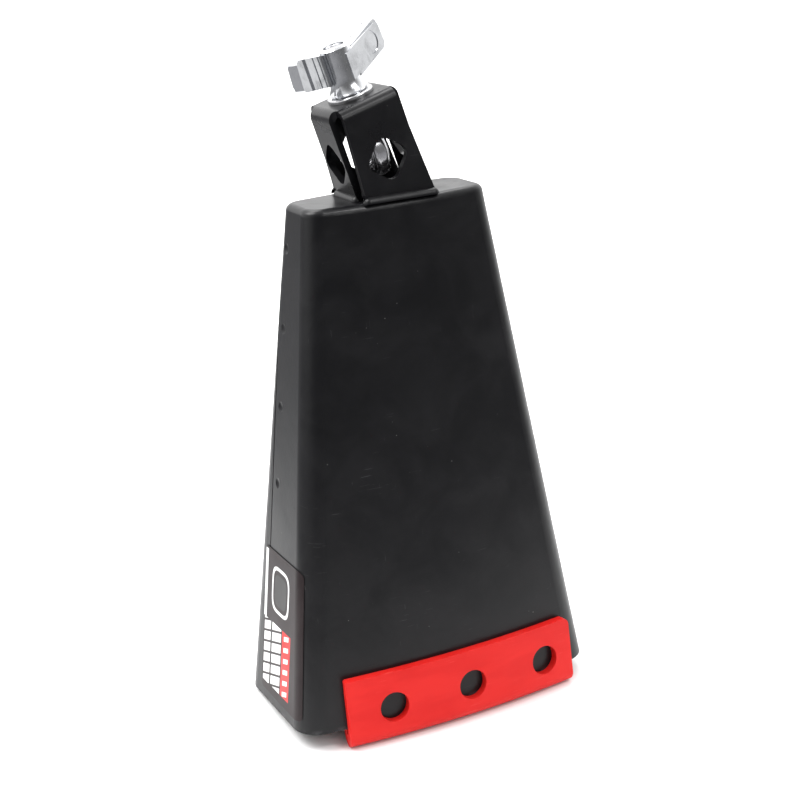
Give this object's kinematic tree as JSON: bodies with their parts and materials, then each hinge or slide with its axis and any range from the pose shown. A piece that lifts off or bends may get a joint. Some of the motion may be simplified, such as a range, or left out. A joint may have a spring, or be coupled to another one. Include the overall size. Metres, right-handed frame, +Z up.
{
  "type": "cowbell",
  "caption": "Folded steel percussion bell with a tilted clamp bracket, an eye bolt closed by a wing nut, and a moulded striking bar on the lip.",
  "frame": {"origin": "middle of the footprint, on the surface the bell stands on", "axes": "+Z up, +X along the mouth's width towards the viewer's right, -Y out of the striking face that carries the bar; the bell leans back towards +Y by 7 degrees as it stands on its bar and rear lip"},
  "size_m": [0.1314, 0.0828, 0.2698],
  "materials": {
    "bell_paint": "satin black powder coat",
    "bracket_paint": "satin black paint",
    "bolt_chrome": "bright nickel-chrome plate",
    "washer_chrome": "bright zinc plate",
    "nut_chrome": "bright chrome on a die casting",
    "bar_plastic": "satin red plastic",
    "label_vinyl": "glossy printed vinyl"
  },
  "bodies": {
    "bell": {"bell_shell": "bell_paint", "mounting_bracket": "bracket_paint", "bracket_welds": "bracket_paint", "striking_bar": "bar_plastic", "side_label": "label_vinyl"},
    "washer": {"flat_washer": "washer_chrome"},
    "bolt": {"eye_bolt": "bolt_chrome"},
    "nut": {"wing_nut": "nut_chrome"}
  },
  "joints": [
    {"name": "wing_nut_turn", "type": "hinge", "parent": "bell", "child": "nut", "pos_m": [-0.0111, 0.02651, 0.24371], "axis": [0.279, -0.114, -0.9535], "range_deg": [-360, 1440]},
    {"name": "eye_bolt_swivel", "type": "hinge", "parent": "bell", "child": "washer", "pos_m": [-0.0111, 0.02651, 0.24371], "axis": [-0.279, 0.114, 0.9535], "range_deg": [-90, 90]},
    {"name": "eye_bolt_slide", "type": "slide", "parent": "washer", "child": "bolt", "axis": [-0.279, 0.114, 0.9535], "range_m": [-0.00141, 0.00564]}
  ],
  "couplings": [
    {"joint": "eye_bolt_slide", "follows": "wing_nut_turn", "m_per_rad": 0.00022457}
  ]
}
